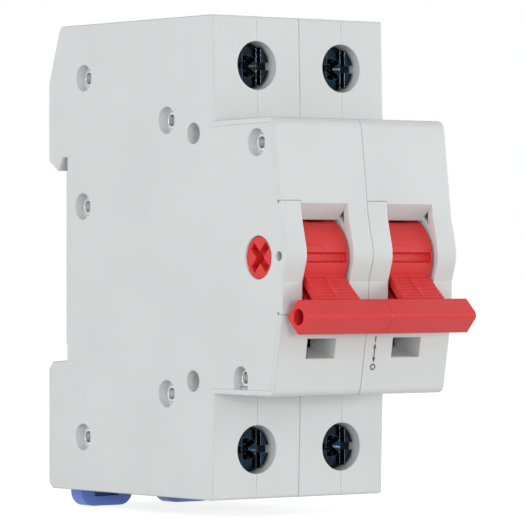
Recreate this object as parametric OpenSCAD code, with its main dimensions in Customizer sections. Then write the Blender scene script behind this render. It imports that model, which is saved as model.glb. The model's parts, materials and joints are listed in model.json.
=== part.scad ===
// Two-pole DIN-rail switch disconnector with a linked toggle.
// Millimetres. The origin is the middle of the rail seat: +X right, -Y towards the user, +Z up.
// Each pole is a hollow case of two half shells.
// It holds a toggle, a double-break contact and two cage terminals.
// The toggle is drawn in its off position, hanging down.

/* [Case] */
// Width of one pole
pole_w = 18; // [17.6:0.1:20]
// Height of the case
case_h = 81; // [79:0.5:86]
// Height of the raised nose
nose_h = 45.5; // [44.8:0.1:47]
// Height of the case's middle above the middle of the rail
case_rise = 0.15; // [0:0.05:0.3]
// Depth from the rail seat to the shoulders, beside the nose
shoulder_d = 43.7; // [43:0.1:46]
// How far the shoulders lean back from the nose to their ends
shoulder_lean = 0.5; // [0:0.1:0.8]
// Depth from the rail seat to the nose's front, below the cheeks
nose_d = 62.1; // [61:0.1:65]
// Rise of the nose's top face from the shoulder to its front edge
nose_rise = 0.3; // [0:0.1:0.5]
// How far the nose's front leans back towards its top edge
top_lean = 2.1; // [1:0.1:2.6]
// How far the nose's front leans back from the window to its bottom edge
bottom_lean = 2.3; // [1:0.1:2.8]
// How far the cheeks bulge in front of the nose
cheek_bulge = 1.5; // [1:0.1:2]
// Thickness of the case's outer walls, seen from the side
wall = 1.3; // [1.1:0.1:1.5]
// Thickness of each shell's side wall
side_wall = 1.5; // [1.3:0.1:1.8]
// Width of the nose frame that wraps round the left side wall
frame_t = 0.85; // [0.75:0.05:1.2]
// Gap between the left side wall and the nose frame
seam = 0.1; // [0.06:0.02:0.2]
// Gap along the parting line in the middle of each pole
part_gap = 0.06; // [0.04:0.02:0.16]

/* [Rail seat] */
// Height of the mounting rail
rail_h = 35; // [35:0.1:35.2]
// Depth of the foot and of the upper hook behind the rail seat
foot_d = 5.35; // [5:0.05:6]
// How far the upper hook reaches down over the rail's edge
hook_lap = 2.1; // [1.8:0.1:2.4]
// Width of the hook's slot at its mouth
hook_mouth = 2.3; // [2.1:0.1:2.5]
// Play above and below the rail
rail_play = 0.15; // [0.05:0.05:0.25]
// Height of the slanted back edge above the hook
back_slant_h = 9.9; // [8:0.1:12]
// How far the top of the case's back leans in
back_slant_d = 3.5; // [2.5:0.1:4]

/* [Toggle] */
// Distance of the toggle's axis behind the nose's front
pivot_set = 6.4; // [6.2:0.1:6.8]
// Radius of the toggle's drum
drum_r = 6.8; // [6.5:0.1:7]
// Width of the drum
drum_w = 8.8; // [8.4:0.1:9.2]
// Diameter of the drum's end journals
journal_d = 7; // [6.6:0.1:7.2]
// Full swing of the toggle, in degrees
swing = 86; // [80:1:88]
// Distance from the toggle's axis to the middle of the grip bar
bar_reach = 14.2; // [13.8:0.1:15]
// Side of the grip bar's square section
bar_side = 4.25; // [3.9:0.05:4.5]
// Diameter of the hole along the grip bar
bar_hole_d = 2.7; // [2.2:0.1:2.9]
// Width of the lever at the drum
lever_w = 8.1; // [7.4:0.1:8.4]
// Extra width of the lever at the grip bar
lever_flare = 0.8; // [0:0.1:1.2]
// Height over the lever's two thumb plates
lever_h = 3.9; // [3.6:0.1:4.1]
// Thickness of the lever's two thumb plates
thumb_t = 1.2; // [1:0.1:1.4]
// Number of grip ribs on each thumb plate
grip_ribs = 8; // [5:1:9]
// Height of the toggle window
window_h = 18.7; // [18.5:0.1:19.2]
// Width of the toggle window
window_w = 9.8; // [9.6:0.1:10.2]
// Width of the arms of the cross recess in the journals
cross_w = 1.4; // [1.2:0.1:1.6]
// Span of the cross recess
cross_span = 5.6; // [5:0.1:6]
// Depth of the cross recess
cross_deep = 1.7; // [1.4:0.1:2]

/* [Contacts] */
// Distance from the toggle's axis to the crank pin
crank_r = 3.2; // [3:0.1:3.3]
// Diameter of the crank pin
crank_pin_d = 1.4; // [1.2:0.1:1.6]
// How far the fixed contact strips lie in front of half the shoulders' depth
strip_set = 1.15; // [0.6:0.05:2]
// Thickness of the fixed contact strips
strip_t = 2; // [1.6:0.1:2.2]
// Width of the fixed contact strips
strip_w = 8.4; // [7.6:0.1:8.6]
// Height of the contact points above and below the case's middle
point_z = 10; // [9.5:0.1:11]
// Diameter of the silver contact points
point_d = 4.6; // [4:0.1:5]
// Thickness of the silver contact points
point_t = 1.2; // [1:0.1:1.4]
// Thickness of the moving contact bridge
bridge_t = 1.8; // [1.5:0.1:2]
// Width of the moving contact bridge
bridge_w = 7; // [6:0.1:7.4]
// Height of the sliding contact carrier
carrier_h = 10; // [9:0.1:10.6]
// Diameter of the carrier's guide stem
stem_d = 3; // [2.6:0.1:3.2]

/* [Terminals] */
// Distance of the terminal screws from the case's ends
terminal_end = 8.3; // [7.5:0.1:8.7]
// Diameter of the screwdriver holes
screw_hole_d = 8.2; // [8:0.1:8.6]
// Diameter of the terminal screws' heads
head_d = 7.7; // [7.2:0.1:7.8]
// Height of the screw heads
head_h = 4; // [3.6:0.1:4.2]
// Depth of the screw heads below the shoulders
head_sink = 1.5; // [1:0.1:1.8]
// Width of the screwdriver slot
slot_w = 1.3; // [1:0.1:1.5]
// Diameter of the screws' shanks
shank_d = 5.8; // [5:0.1:6]
// Width of the terminal cages
cage_w = 11.4; // [11:0.1:11.6]
// Length of the terminal cages along the conductor
cage_l = 8.6; // [8:0.1:9]
// Thickness of the cages' side and back walls
cage_wall = 1.2; // [1:0.1:1.3]
// Thickness of the cages' threaded wall
cage_nut = 2.4; // [2:0.1:2.6]
// Travel of the cages
cage_travel = 6; // [5:0.1:6.2]
// Space for the conductor with the cage open
conductor_gap = 10.2; // [10:0.1:10.6]
// Diameter of the cable entries
entry_d = 9.5; // [9:0.1:9.8]

/* [Rail clips] */
// Width of the rail clips
clip_w = 11; // [10:0.1:11.6]
// Thickness of the clip's plate
clip_t = 2.4; // [2:0.1:2.5]
// Thickness of the pull tab
tab_t = 3.2; // [3:0.1:3.3]
// How far the pull tab stands below the case
tab_out = 3.2; // [2.8:0.1:4]
// Travel of the clip
clip_travel = 3; // [2:0.1:3.4]
// Overlap of the clip behind the rail's lower edge
clip_lap = 2.1; // [1.6:0.1:2.4]

/* [Rivets and springs] */
// Diameter of the rivets
rivet_d = 3; // [2.6:0.1:3.2]
// Diameter of the rivets' rolled heads
rivet_head_d = 3.6; // [3.3:0.1:4.2]
// Diameter of the sinks round the rivet heads
sink_d = 4.6; // [4.4:0.1:5]
// Width of the pocket round the lower front rivet
pocket_w = 3.8; // [3.7:0.1:4.4]
// Depth of the sinks round the rivet heads
sink_deep = 1.8; // [1.6:0.1:2.1]
// Wire diameter of the carriers' return springs
return_wire = 0.7; // [0.5:0.05:0.8]
// Wire diameter of the contact springs
contact_wire = 0.6; // [0.4:0.05:0.7]
// Wire diameter of the clip springs
clip_wire = 0.4; // [0.3:0.05:0.45]

/* [Hidden] */
$fn = 48;
slip = 0.1;
play = 0.2;
touch = 0.05;
cut = 1;
hair = 0.01;
far = 200;
half_turn = 180;

// Case frame
top_z = case_rise + case_h / 2;
bottom_z = case_rise - case_h / 2;
nose_top_z = case_rise + nose_h / 2;
nose_bottom_z = case_rise - nose_h / 2;
half_w = pole_w / 2;
end_d = shoulder_d - shoulder_lean;
frame_step = 1.6;
cheek_wall = 1.2;
cheek_zone_deep = 10;
journal_wall = 1.8;
edge_relief = 0.12;

// Heights along the case, from its middle
terminal_z = case_h / 2 - terminal_end;
strip_d = shoulder_d / 2 + strip_set;

// Rail seat
slot_top_z = rail_h / 2 + rail_play;
hook_z = slot_top_z - hook_lap - rail_play;
step_z = -rail_h / 2 - 2 * rail_play;
seat_relief = 0.3;
seat_top_z = hook_z - 0.2;
seat_bottom_z = -rail_h / 2 + clip_lap + 0.3;
clip_top_z = -rail_h / 2 + clip_lap;

// Toggle
pivot_d = nose_d - pivot_set;
bore_d = journal_d + 2 * slip;
journal_inset = 0.35;
bar_end_gap = 0.3;
bar_joint = 0.04;
groove_h = 1.8;
groove_floor_h = 1.1;
groove_deep = 0.8;
groove_end = 0.25;
tie_pin_l = 12;
funnel_gap = 0.35;
lever_room = 0.15;
funnel_angle = swing / 2 + asin((lever_h / 2 + lever_room) / (drum_r + funnel_gap));
bar_round = 0.9;
bar_edge = 0.4;
rib_rise = 0.13;
rib_part = 0.62;
lever_core_w = 2;
crank_inset = 1;
pin_hole_d = 1.6;
pin_hole_deep = 3;
pin_hole_set = 0.85;

// Lock hole and sight notch
lock_x = -0.2;
lock_z = -14.95;
lock_w = 6;
lock_h = 3.3;
lock_wall = 0.9;
lock_tunnel = 5.5;
notch_points = [[-4.9, 8.2], [-5.1, 5.55], [-3.5, 7.1], [-3.5, 8.2]];
hook_points = [[1.25, 0.15], [0.7, -0.25], [1.25, -0.65]];
hook_deep = 0.5;

// Contact carrier, positions at rest
crank_y = -pivot_d - crank_r * sin(swing / 2);
travel = 2 * crank_r * sin(swing / 2);
follower_y = crank_y + crank_pin_d / 2 + 0.15;
follower_low = crank_r * cos(swing / 2) - 0.6;
follower_high = crank_r + 0.3;
follower_w = 2.8;
strip_front_y = -strip_d - strip_t;
bridge_back_y = strip_front_y - 2 * point_t - touch - travel;
bridge_front_y = bridge_back_y - bridge_t;
carrier_lip = 1.4;
carrier_back_y = bridge_back_y + carrier_lip;
carrier_gap = 2.4;
carrier_front_y = -(pivot_d - drum_r - carrier_gap);
carrier_window_y = carrier_front_y + 4;
contact_spring_l = bridge_front_y - carrier_window_y;
carrier_half_w = half_w - side_wall - slip;
strip_end_z = point_z - point_d / 2 - 0.7;
bridge_half_l = point_z + point_d / 2 + 0.2;
return_seat_y = -strip_d + 5;
return_seat_t = 1.8;
return_seat_half_h = 5;
return_coil_gap = 0.8;
return_turns = 5;
stem_end_y = return_seat_y + return_seat_t + 1.4;
contact_coil_r = 2;
contact_turns = 6;
carrier_pocket = 1.6;
carrier_margin = 1.5;
guide_t = 1.4;
guide_lap = 2;

// Terminals
screw_face_y = -(end_d + shoulder_lean / 2);
head_top_y = screw_face_y + head_sink;
head_low_y = head_top_y + head_h;
screw_tip_y = strip_front_y - touch;
cage_back_in_y = -strip_d + conductor_gap;
cage_nut_back_y = head_low_y + 0.6 + cage_travel + cage_nut;
cage_low_y = cage_back_in_y + cage_wall + 0.6;
strip_out_z = terminal_z + cage_l / 2 + 0.9;
barrier_t = 1.2;
barrier_z = terminal_z - cage_l / 2 - 1.3 - barrier_t;
screw_collar_wall = 1.2;
screw_edge = 0.3;
screw_point = 0.6;
ear_h = 1.25;
ear_half_w = 3.2;
ear_in = 1.9;
dish_r = 0.9;
dish_deep = 1.9;
recess_w = 0.9;
recess_l = 4;
recess_deep = 2.7;
cage_guide_half_h = 2.2;
entry_y = -strip_d + conductor_gap / 2;

// Rail clip
channel_front_y = 0.2;
tab_front_y = channel_front_y + play;
tab_back_y = tab_front_y + tab_t;
clip_front_y = tab_back_y - clip_t;
channel_back_y = tab_back_y + play;
channel_w = clip_w + 2 * play;
tab_z = bottom_z - tab_out;
foot_h = step_z - bottom_z;
nub_w = 2.6;
nub_h = 2;
nub_z = bottom_z + 0.29 * foot_h;
clip_spring_solid_l = 0.31 * foot_h;
clip_slot_w = 3;
clip_slot_top_z = nub_z + nub_h + clip_spring_solid_l + clip_travel;
clip_spring_r = 0.9;
clip_bevel = 1.6;
tab_top_z = bottom_z + 4.5;
tab_corner = 2.6;
pry_w = 5.2;
pry_low_z = bottom_z - 1.5;
pry_high_z = bottom_z - 0.6;

// Rivets, as [Y, Z from the case's middle]
end_rivet_y = 0.465 * (cage_back_in_y + cage_wall);
mid_rivet_y = -strip_d - 7;
rivet_spots = [
    [end_rivet_y, terminal_z - 1], [mid_rivet_y, barrier_z - 2.2], [-(pivot_d - 0.5), nose_h / 2 - 3.85], [-5.1, 8.9],
    [end_rivet_y + 0.2, -(terminal_z - 1)], [mid_rivet_y, -(barrier_z - 2.4)], [-(pivot_d - 4.8), -(nose_h / 2 - 2.9)]
];
pocket_spot = rivet_spots[6];
blind_spots = [[-37.7, 20.8], [-37.6, -20.7]];
blind_d = 3.6;
blind_deep = 3;
rivet_bore_d = rivet_d + slip;
rivet_head_h = 0.7;
rivet_head_lean = 0.45;
rivet_hollow_wall = 0.8;
rivet_hollow_deep = 1;
function sink_at(p) = p == pocket_spot ? pocket_w : sink_d;
boss_d = sink_d + 2;

grey = [0.83, 0.84, 0.835];
red = [0.86, 0.3, 0.3];
blue = [0.25, 0.35, 0.62];
copper = [0.8, 0.5, 0.32];
silver = [0.85, 0.85, 0.86];
zinc = [0.62, 0.64, 0.66];
black = [0.09, 0.1, 0.12];
cream = [0.82, 0.79, 0.7];
steel = [0.7, 0.71, 0.73];

// Points of an arc of radius r that rounds the corner b between a and c
function unit(v) = v / norm(v);
function corner(a, b, c, r) =
    r == 0 ? [b] :
    let (
        u = unit(a - b),
        w = unit(c - b),
        half = acos(u * w) / 2,
        centre = b + unit(u + w) * r / sin(half),
        from = b + u * r / tan(half) - centre,
        to = b + w * r / tan(half) - centre,
        start = atan2(from.y, from.x),
        turn = (atan2(to.y, to.x) - start + 3 * half_turn) % (2 * half_turn) - half_turn
    )
    [for (i = [0:6]) centre + r * [cos(start + turn * i / 6), sin(start + turn * i / 6)]];

// Outline through points [x, y, r], each corner rounded by its r
function rounded(p) =
    let (n = len(p), xy = [for (q = p) [q.x, q.y]])
    [for (i = [0:n - 1]) each corner(xy[(i + n - 1) % n], xy[i], xy[(i + 1) % n], p[i].z)];

// Case outline as [Y, Z, corner radius], from the top front corner round the back
case_points = [
    [-end_d, top_z, 0.5],
    [foot_d - back_slant_d, top_z, 1.2],
    [foot_d, top_z - back_slant_h, 2],
    [foot_d, hook_z + 1.8, 0.4],
    [hook_mouth + 0.3, hook_z, 0.3],
    [hook_mouth, hook_z, 0],
    [hook_mouth - 1.2, slot_top_z, 0],
    [-seat_relief, slot_top_z, 0],
    [-seat_relief, seat_top_z, 0],
    [0, seat_top_z, 0],
    [0, seat_bottom_z, 0],
    [-seat_relief, seat_bottom_z, 0],
    [-seat_relief, step_z, 0],
    [foot_d - 1.2, step_z - 0.3, 0.3],
    [foot_d, step_z - 1.5, 0.3],
    [foot_d, bottom_z, 1.5],
    [-end_d, bottom_z, 0.5],
    [-shoulder_d, nose_bottom_z, 0],
    [-(nose_d - bottom_lean), nose_bottom_z, 1.4],
    [-nose_d, case_rise - window_h / 2, 1],
    [-nose_d - 0.1, case_rise - 3.9, 0.4],
    [-nose_d - cheek_bulge, case_rise + 0.4, 6],
    [-nose_d + 0.1, case_rise + 6.9, 4],
    [-(nose_d - top_lean), nose_top_z + nose_rise, 1.8],
    [-shoulder_d, nose_top_z, 0]
];

// Extrudes a (Y, Z) outline along X from x0 to x1
module slab(x0, x1) {
    translate([x0, 0, 0]) rotate([90, 0, 90]) linear_extrude(x1 - x0) children();
}

// A box from its lowest to its highest corner
module span(low, high) {
    translate(low) cube(high - low);
}

// A cylinder along X from x0 to x1 at (Y, Z)
module x_rod(d, x0, x1, yz) {
    translate([x0, yz[0], yz[1]]) rotate([0, 90, 0]) cylinder(d = d, h = x1 - x0);
}

// A cylinder along Y from y0 to y1 at (X, Z)
module y_rod(d, y0, y1, xz) {
    translate([xz[0], y1, xz[1]]) rotate([90, 0, 0]) cylinder(d = d, h = y1 - y0);
}

// A coil of round wire along +Z from z = 0 to z = h, outer ends within the height
module coil(wire, r, h, turns) {
    steps = 12 * turns;
    sides = 6;
    rise = h - wire;
    function ring(i) =
        let (a = 360 * i / 12, z = wire / 2 + rise * i / steps)
        [for (k = [0:sides - 1])
            let (b = 360 * k / sides, q = r + wire / 2 * cos(b))
            [q * cos(a), q * sin(a), z + wire / 2 * sin(b)]];
    points = [for (i = [0:steps]) each ring(i)];
    tube = [for (i = [0:steps - 1], k = [0:sides - 1])
        let (a = i * sides + k, b = i * sides + (k + 1) % sides)
        [a, a + sides, b + sides, b]];
    first_cap = [for (k = [0:sides - 1]) k];
    last_cap = [for (k = [sides - 1:-1:0]) steps * sides + k];
    polyhedron(points, concat(tube, [first_cap, last_cap]));
}

// Places the children in the left pole (-1) or the right pole (1)
module in_pole(side) {
    translate([side * half_w, 0, 0]) children();
}

// Places the children at the upper (1) or the lower (-1) terminal
module at_terminal(end) {
    translate([0, 0, case_rise + end * terminal_z]) mirror([0, 0, end > 0 ? 0 : 1]) children();
}

// Case: two-dimensional forms, in (Y, Z)
module case_2d() {
    polygon(rounded(case_points));
}

module cavity_2d() {
    offset(delta = -wall) case_2d();
}

module rim_2d() {
    difference() {
        case_2d();
        cavity_2d();
    }
}

// The nose, and the first part of the shoulders' depth behind it
module nose_zone_2d() {
    polygon([
        [-far, nose_bottom_z], [-shoulder_d + frame_step, nose_bottom_z],
        [-shoulder_d + frame_step, nose_top_z], [-shoulder_d, nose_top_z],
        [-shoulder_d, nose_top_z + nose_rise + cut], [-far, nose_top_z + nose_rise + cut]
    ]);
}

module cheek_zone_2d(gap = 0) {
    translate([-far, case_rise - window_h / 2 + gap])
        square([far - nose_d + cheek_zone_deep, window_h - 2 * gap]);
}

// Small step along the outline of the pole's side faces
module relief_2d() {
    difference() {
        offset(delta = cut) case_2d();
        offset(delta = -edge_relief) case_2d();
    }
}

// The strip of the nose that the right shell wraps round the left side wall
module frame_2d() {
    difference() {
        intersection() {
            case_2d();
            nose_zone_2d();
        }
        offset(delta = -frame_t) case_2d();
        cheek_zone_2d();
    }
}

module left_plate_2d() {
    difference() {
        case_2d();
        offset(delta = seam) frame_2d();
    }
}

// Where a shell's inner forms may reach.
// The left shell's stay inside the nose that the right shell wraps round.
module room_2d(out) {
    if (out > 0) case_2d();
    else union() {
        difference() {
            case_2d();
            nose_zone_2d();
        }
        offset(delta = -seam) cavity_2d();
    }
}

// Wall beside the toggle window that carries the toggle's journal
module cheek_wall_2d() {
    intersection() {
        case_2d();
        translate([-far, case_rise - window_h / 2 + seam])
            square([far - pivot_d + bore_d / 2 + journal_wall, window_h - 2 * seam]);
    }
}

// One slanted wall of the window, from the nose's front back to the drum
module funnel_2d(end) {
    lip = drum_r + funnel_gap;
    edge = [-pivot_d - lip * cos(funnel_angle), lip * sin(funnel_angle)];
    translate([0, case_rise]) mirror([0, end > 0 ? 0 : 1]) polygon([
        [-nose_d - 0.05, window_h / 2],
        edge,
        edge + [1, 1],
        [-nose_d + 2.2, window_h / 2 + wall],
        [-nose_d + 0.8, window_h / 2 + wall]
    ]);
}

// Ribs, bosses and seats that both shells carry, from x0 to x1 in the shell's own half
module inner_forms(x0, x1, out) {
    intersection() {
        union() {
            for (p = rivet_spots) x_rod(boss_d, x0, x1, [p[0], case_rise + p[1]]);
            for (p = blind_spots)
                x_rod(blind_d + 2, out > 0 ? half_w - blind_deep - 1 : x0,
                      out > 0 ? x1 : -half_w + blind_deep + 1, [p[0], case_rise + p[1]]);
            for (end = [-1, 1]) {
                terminal_walls(x0, x1, end);
                carrier_guide(out, end);
                cage_guide(out, end);
            }
            // Seat of the return spring
            span([x0, return_seat_y, case_rise - return_seat_half_h],
                 [x1, return_seat_y + return_seat_t, case_rise + return_seat_half_h]);
        }
        slab(x0, x1) room_2d(out);
    }
    // Walls round the rail clip
    intersection() {
        span([x0, channel_front_y - wall, bottom_z], [x1, foot_d, step_z]);
        slab(x0, x1) case_2d();
    }
}

// Barrier between the terminal and the contacts, and the collar of the screwdriver hole
module terminal_walls(x0, x1, end) {
    intersection() {
        at_terminal(end) union() {
            difference() {
                span([-half_w, -nose_d, barrier_z - terminal_z],
                     [half_w, foot_d, barrier_z + barrier_t - terminal_z]);
                span([-strip_w / 2 - slip, strip_front_y - slip, -terminal_z],
                     [strip_w / 2 + slip, -strip_d + slip, terminal_z]);
            }
            y_rod(screw_hole_d + 2 * screw_collar_wall, screw_face_y, head_low_y, [0, 0]);
        }
        span([x0, -2 * nose_d, -case_h], [x1, foot_d, case_h]);
    }
}

// Rib above or below the sliding contact carrier
module carrier_guide(out, end) {
    z0 = carrier_h / 2 + play;
    translate([0, 0, case_rise]) mirror([0, 0, end > 0 ? 0 : 1]) mirror([out > 0 ? 0 : 1, 0, 0])
        span([half_w - side_wall - guide_lap, carrier_front_y - 1, z0],
             [half_w, strip_front_y + 1, z0 + guide_t]);
}

// Rib beside the terminal cage
module cage_guide(out, end) {
    at_terminal(end) mirror([out > 0 ? 0 : 1, 0, 0])
        span([cage_w / 2 + slip, head_low_y, -cage_guide_half_h], [half_w, cage_low_y, cage_guide_half_h]);
}

// Bores, sinks and channels that run through both shells of a pole
module case_cuts() {
    for (p = rivet_spots) {
        yz = [p[0], case_rise + p[1]];
        x_rod(rivet_bore_d, -half_w - cut, half_w + cut, yz);
        for (x = [-half_w - cut, half_w - sink_deep]) x_rod(sink_at(p), x, x + sink_deep + cut, yz);
    }
    for (x = [-half_w - cut, half_w - edge_relief]) slab(x, x + edge_relief + cut) relief_2d();
    for (p = blind_spots, x = [-half_w - cut, half_w - blind_deep])
        x_rod(blind_d, x, x + blind_deep + cut, [p[0], case_rise + p[1]]);
    x_rod(bore_d, -half_w - cut, half_w + cut, [-pivot_d, case_rise]);
    y_rod(stem_d + 2 * play, return_seat_y - cut, return_seat_y + return_seat_t + cut, [0, case_rise]);
    for (end = [-1, 1]) at_terminal(end) {
        y_rod(screw_hole_d, screw_face_y - 2, head_low_y + cut, [0, 0]);
        translate([0, entry_y, 0]) cylinder(d = entry_d, h = case_h / 2 - terminal_z + cut);
    }
    clip_channel();
}

// Room for the rail clip and its spring, round the nub that the spring stands on
module clip_channel() {
    difference() {
        span([-channel_w / 2, channel_front_y, bottom_z - cut],
             [channel_w / 2, channel_back_y, step_z + cut]);
        span([-nub_w / 2, channel_front_y - cut, nub_z],
             [nub_w / 2, clip_front_y + clip_t - play, nub_z + nub_h]);
    }
}

module case_left() {
    color(grey) difference() {
        union() {
            slab(-half_w, -half_w + side_wall) left_plate_2d();
            slab(-half_w, -part_gap / 2) difference() {
                rim_2d();
                nose_zone_2d();
            }
            slab(-half_w, -window_w / 2) intersection() {
                rim_2d();
                cheek_zone_2d(seam / 2);
            }
            slab(-window_w / 2 - cheek_wall, -window_w / 2) cheek_wall_2d();
            inner_forms(-half_w, -part_gap / 2, -1);
        }
        case_cuts();
        // The lower front sink runs down to the nose frame
        span([-half_w - cut, pocket_spot[0] - pocket_w / 2, nose_bottom_z + frame_t + seam],
             [-half_w + sink_deep, pocket_spot[0] + pocket_w / 2, case_rise + pocket_spot[1]]);
        side_hooks();
        // Small pin hole in the left cheek
        x_rod(pin_hole_d, -half_w - cut, -half_w + pin_hole_deep, [-nose_d + pin_hole_set, case_rise + 0.2]);
    }
}

module case_right() {
    color(grey) difference() {
        union() {
            slab(half_w - side_wall, half_w) case_2d();
            slab(part_gap / 2, half_w) difference() {
                rim_2d();
                nose_zone_2d();
            }
            difference() {
                slab(-half_w, half_w) difference() {
                    intersection() {
                        rim_2d();
                        nose_zone_2d();
                    }
                    cheek_zone_2d();
                }
                slab(-half_w - cut, -half_w + side_wall + seam) offset(delta = hair) left_plate_2d();
            }
            slab(window_w / 2, half_w) intersection() {
                rim_2d();
                cheek_zone_2d(-seam);
            }
            slab(window_w / 2, window_w / 2 + cheek_wall) cheek_wall_2d();
            for (end = [-1, 1]) slab(-window_w / 2 + seam, window_w / 2 + cheek_wall) intersection() {
                funnel_2d(end);
                case_2d();
            }
            inner_forms(part_gap / 2, half_w, 1);
            intersection() {
                lock_box(lock_wall, 0);
                slab(-half_w, half_w) case_2d();
            }
        }
        case_cuts();
        lock_box(0, cut);
        side_hooks();
        // Notch in the window's right wall
        slab(window_w / 2 - hair, window_w / 2 + cheek_wall + cut)
            translate([-pivot_d, case_rise]) polygon(notch_points);
    }
}

// Small three-cornered sinks where the cheek's seams meet the nose frame on the left side
module side_hooks() {
    slab(-half_w - cut, -half_w + hook_deep) translate([-nose_d, case_rise]) for (end = [0, 1])
        mirror([0, end]) translate([0, window_h / 2]) polygon(hook_points);
}

// Tunnel of the square hole below the window, for a seal or a lock, grown by a margin
module lock_box(margin, over) {
    translate([lock_x, 0, case_rise + lock_z])
        span([-lock_w / 2 - margin, -nose_d - cut, -lock_h / 2 - margin],
             [lock_w / 2 + margin, -nose_d + bottom_lean + lock_tunnel + over, lock_h / 2 + margin]);
}

// Toggle, drawn with the lever straight out and then turned down to off
module toggle_turn() {
    translate([0, -pivot_d, case_rise]) rotate([swing / 2, 0, 0]) children();
}

module cross_2d(w, length) {
    square([w, length], center = true);
    square([length, w], center = true);
}

// One thumb plate of the lever, with its grip ribs
module thumb_plate() {
    y0 = -drum_r + 0.5;
    y1 = -bar_reach + bar_side / 2;
    y_end = y1 - 0.3;
    pitch = (y0 - y1) / grip_ribs;
    w0 = lever_w / 2;
    w1 = w0 + lever_flare / 2;
    z0 = lever_h / 2 - thumb_t - 0.1;
    function crest(i) = z0 + thumb_t + rib_rise * (1 - i / grip_ribs);
    intersection() {
        translate([0, 0, z0]) linear_extrude(thumb_t + 2 * rib_rise)
            polygon([[-w0, y0], [w0, y0], [w1, y_end], [-w1, y_end]]);
        slab(-w1, w1) polygon(concat(
            [[y_end, z0], [y0, z0]],
            [for (i = [0:grip_ribs - 1]) each [
                [y0 - i * pitch, crest(i)],
                [y0 - (i + rib_part) * pitch, crest(i)],
                [y0 - (i + rib_part) * pitch, crest(i) - rib_rise],
                [y0 - (i + 1) * pitch, crest(i) - rib_rise]
            ]],
            [[y_end, z0 + thumb_t - rib_rise]]
        ));
    }
}

// Grooves along the drum, seen from the end: one faces the user at each end of the swing
module groove_2d() {
    for (a = [-swing / 2, swing / 2]) rotate(a) polygon([
        [-drum_r - cut, -groove_h / 2], [-drum_r, -groove_h / 2],
        [-drum_r + groove_deep, -groove_floor_h / 2], [-drum_r + groove_deep, groove_floor_h / 2],
        [-drum_r, groove_h / 2], [-drum_r - cut, groove_h / 2]
    ]);
}

// Space that the carrier's push rod needs inside the turning drum
module follower_space() {
    slab(-follower_w / 2 - 0.3, follower_w / 2 + 0.3) for (i = [0:6]) {
        a = swing / 2 - swing * i / 6;
        face = -crank_r * sin(a) + crank_pin_d / 2 - 0.2;
        rotate(-a) translate([face, follower_low - 0.3])
            square([2 * drum_r - face, follower_high - follower_low + 0.6]);
    }
}

module toggle(x0, x1) {
    color(red) toggle_turn() difference() {
        union() {
            difference() {
                x_rod(2 * drum_r, -drum_w / 2, drum_w / 2, [0, 0]);
                follower_space();
                slab(-drum_w / 2 + groove_end, drum_w / 2 - groove_end) groove_2d();
            }
            x_rod(crank_pin_d, -drum_w / 2 + crank_inset, drum_w / 2 - crank_inset, [0, crank_r]);
            x_rod(journal_d, -half_w + journal_inset, -drum_w / 2 + cut, [0, 0]);
            x_rod(journal_d, drum_w / 2 - cut, half_w - journal_inset, [0, 0]);
            thumb_plate();
            mirror([0, 0, 1]) thumb_plate();
            span([-lever_core_w / 2, -bar_reach, -lever_h / 2 + 0.5],
                 [lever_core_w / 2, -drum_r + 1, lever_h / 2 - 0.5]);
            slab(x0, x1) translate([-bar_reach, 0]) polygon(rounded([
                [-bar_side / 2, bar_side / 2, bar_round], [bar_side / 2, bar_side / 2, bar_edge],
                [bar_side / 2, -bar_side / 2, bar_edge], [-bar_side / 2, -bar_side / 2, bar_edge]
            ]));
        }
        x_rod(bar_hole_d, x0 - cut, x1 + cut, [-bar_reach, 0]);
        slab(-half_w, -half_w + journal_inset + cross_deep) cross_2d(cross_w, cross_span);
        slab(half_w - journal_inset - cross_deep, half_w) cross_2d(cross_w, cross_span);
    }
}

module tie_pin() {
    color(steel) toggle_turn() x_rod(bar_hole_d - 2 * touch, -tie_pin_l / 2, tie_pin_l / 2, [-bar_reach, 0]);
}

// Cross-shaped key that joins the two drums
module coupling_key() {
    l = journal_inset + cross_deep - slip;
    color(black) toggle_turn() slab(-l, l) cross_2d(cross_w - 2 * slip, cross_span - 2 * slip);
}

// Contact carrier with its push rod, frame and guide stem
module contact_carrier() {
    color(cream) translate([0, 0, case_rise]) {
        difference() {
            span([-carrier_half_w, carrier_front_y, -carrier_h / 2],
                 [carrier_half_w, carrier_back_y, carrier_h / 2]);
            span([-bridge_w / 2 - play, carrier_window_y, -carrier_h],
                 [bridge_w / 2 + play, bridge_back_y, carrier_h]);
            for (x = [-1, 1]) translate([x * carrier_half_w, 0, 0])
                span([-carrier_pocket, carrier_front_y + carrier_margin, -carrier_h / 2 + carrier_margin],
                     [carrier_pocket, carrier_back_y - carrier_margin, carrier_h / 2 - carrier_margin]);
        }
        span([-follower_w / 2, follower_y, follower_low],
             [follower_w / 2, carrier_front_y + cut, follower_high]);
        y_rod(stem_d, carrier_back_y - 0.5, stem_end_y, [0, 0]);
    }
}

module contact_bridge() {
    color(copper) translate([0, 0, case_rise])
        span([-bridge_w / 2, bridge_front_y, -bridge_half_l], [bridge_w / 2, bridge_back_y, bridge_half_l]);
}

module moving_points() {
    color(silver) for (z = [-point_z, point_z])
        y_rod(point_d, bridge_back_y, bridge_back_y + point_t, [0, case_rise + z]);
}

module contact_spring() {
    color(steel) translate([0, bridge_front_y - touch, case_rise]) rotate([90, 0, 0])
        coil(contact_wire, contact_coil_r, contact_spring_l - 2 * touch, contact_turns);
}

module return_spring() {
    r = stem_d / 2 + return_wire / 2 + return_coil_gap;
    color(steel) translate([0, return_seat_y - touch, case_rise]) rotate([90, 0, 0])
        coil(return_wire, r, return_seat_y - carrier_back_y - 2 * touch, return_turns);
}

module contact_strip(end) {
    color(copper) translate([0, 0, case_rise]) mirror([0, 0, end > 0 ? 0 : 1])
        span([-strip_w / 2, strip_front_y, strip_end_z], [strip_w / 2, -strip_d, strip_out_z]);
}

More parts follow.
